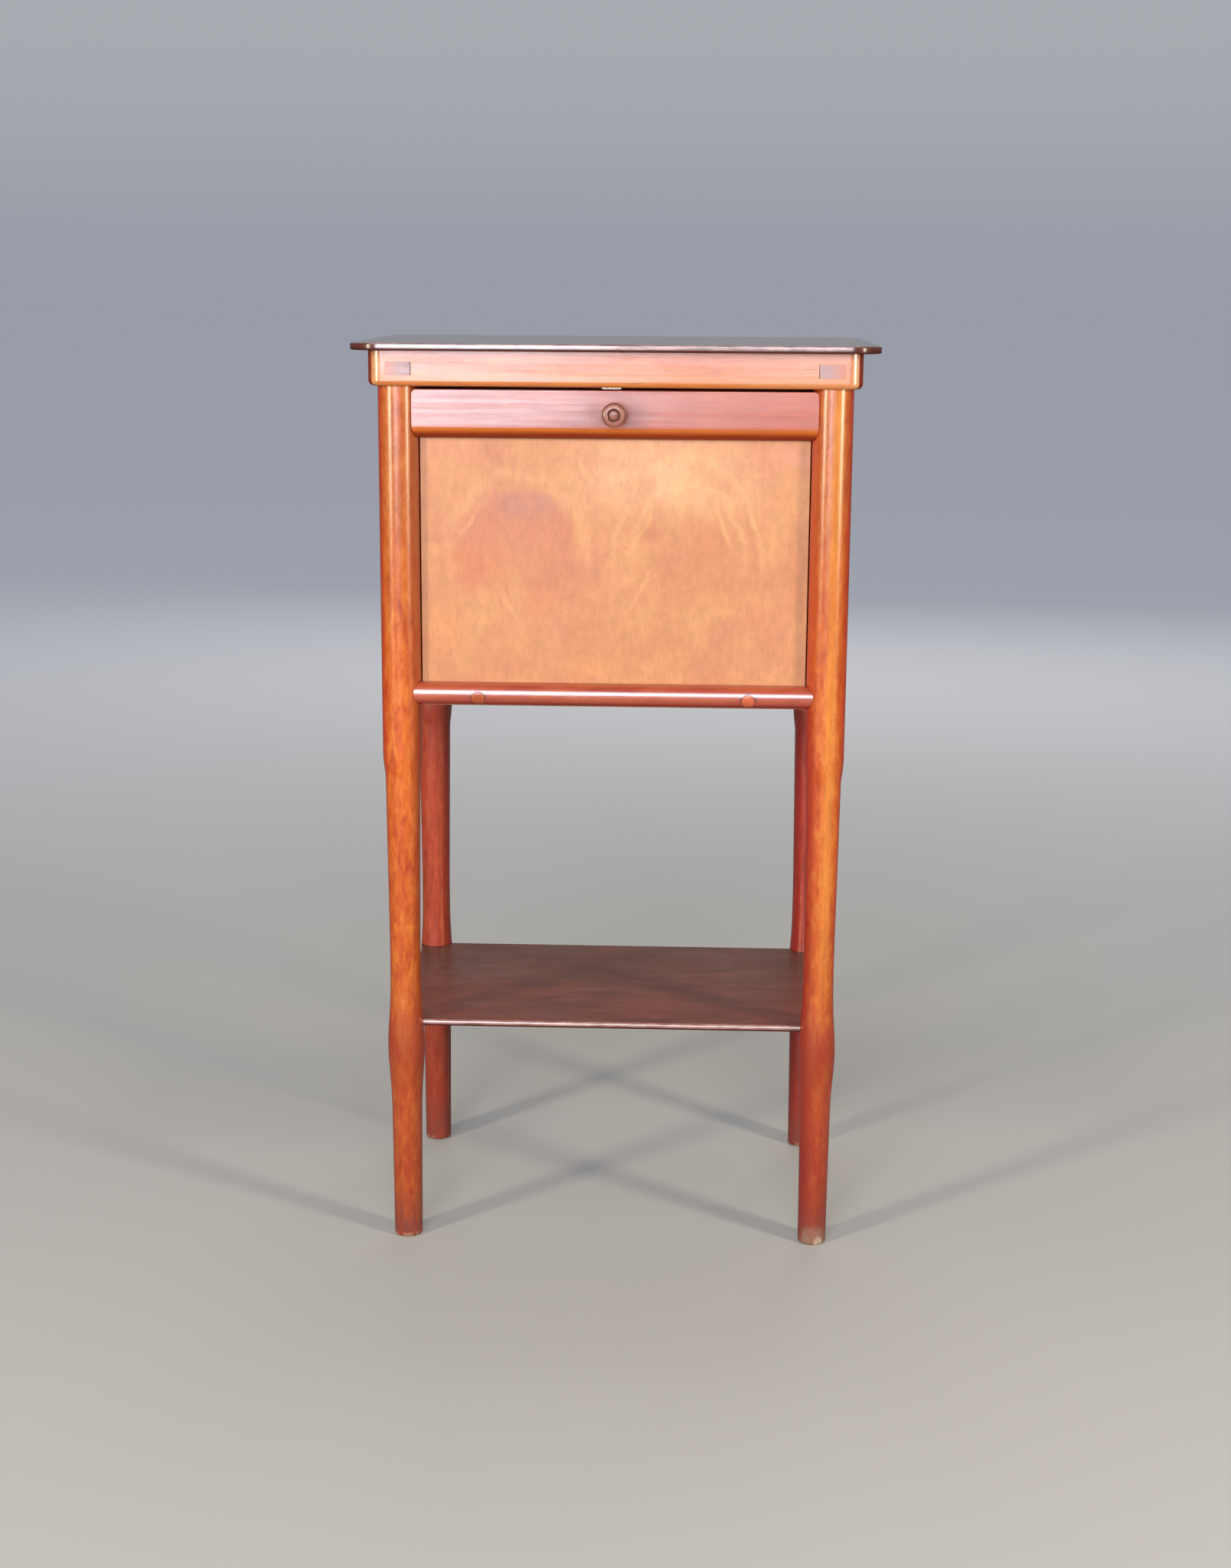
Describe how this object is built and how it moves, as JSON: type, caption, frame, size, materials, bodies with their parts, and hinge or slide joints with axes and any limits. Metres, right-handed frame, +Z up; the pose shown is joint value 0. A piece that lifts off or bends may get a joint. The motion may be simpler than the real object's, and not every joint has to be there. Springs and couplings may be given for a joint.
{
  "type": "nightstand",
  "caption": "Slim wooden nightstand on turned legs with a rounded top, a small cupboard behind a drop front with a turned knob, and a low open shelf.",
  "frame": {"origin": "on the floor, under the middle of the cabinet", "axes": "+Z up; -Y towards the user, out of the drop front; +X to the right seen from the front"},
  "size_m": [0.4326, 0.3124, 0.78],
  "materials": {
    "leg_wood": "glossy orange-brown stain and polish on turned beech",
    "apron_wood": "glossy reddish polish, fine level grain",
    "dark_board": "worn dark brown stain, satin",
    "panel_plywood": "polished rotary-cut plywood, upright figure",
    "plug_wood": "polished wood plug, a little greyer than its surround",
    "knob_wood": "dark polished turned wood",
    "inside_wood": "plain unpolished plywood",
    "spring_metal": "bright rolled sheet",
    "screw_steel": "dull steel"
  },
  "bodies": {
    "cabinet": {"apron_front": "apron_wood", "apron_back": "apron_wood", "apron_left": "apron_wood", "apron_right": "apron_wood", "leg_front_left": "leg_wood", "apron_plug_front_left": "plug_wood", "leg_screw_front_left": "screw_steel", "leg_front_right": "leg_wood", "apron_plug_front_right": "plug_wood", "leg_screw_front_right": "screw_steel", "leg_back_left": "leg_wood", "apron_plug_back_left": "plug_wood", "leg_screw_back_left": "screw_steel", "leg_back_right": "leg_wood", "apron_plug_back_right": "plug_wood", "leg_screw_back_right": "screw_steel", "top_board": "dark_board", "shelf": "dark_board", "side_panel_left": "panel_plywood", "side_rail_left": "leg_wood", "catch_screw_left": "screw_steel", "side_panel_right": "panel_plywood", "side_rail_right": "leg_wood", "catch_screw_right": "screw_steel", "back_panel": "panel_plywood", "back_rail": "leg_wood", "floor_board": "inside_wood", "catch_spring": "spring_metal"},
    "flap": {"flap_panel": "panel_plywood", "flap_rail": "apron_wood", "flap_bar": "leg_wood", "knob": "knob_wood", "knob_screw": "screw_steel", "bar_plug_left": "plug_wood", "bar_screw_left": "screw_steel", "bar_plug_right": "plug_wood", "bar_screw_right": "screw_steel"}
  },
  "joints": [
    {"name": "flap_hinge", "type": "hinge", "parent": "cabinet", "child": "flap", "pos_m": [0, -0.1215, 0.489], "axis": [1, 0, 0], "range_deg": [0, 90]}
  ]
}
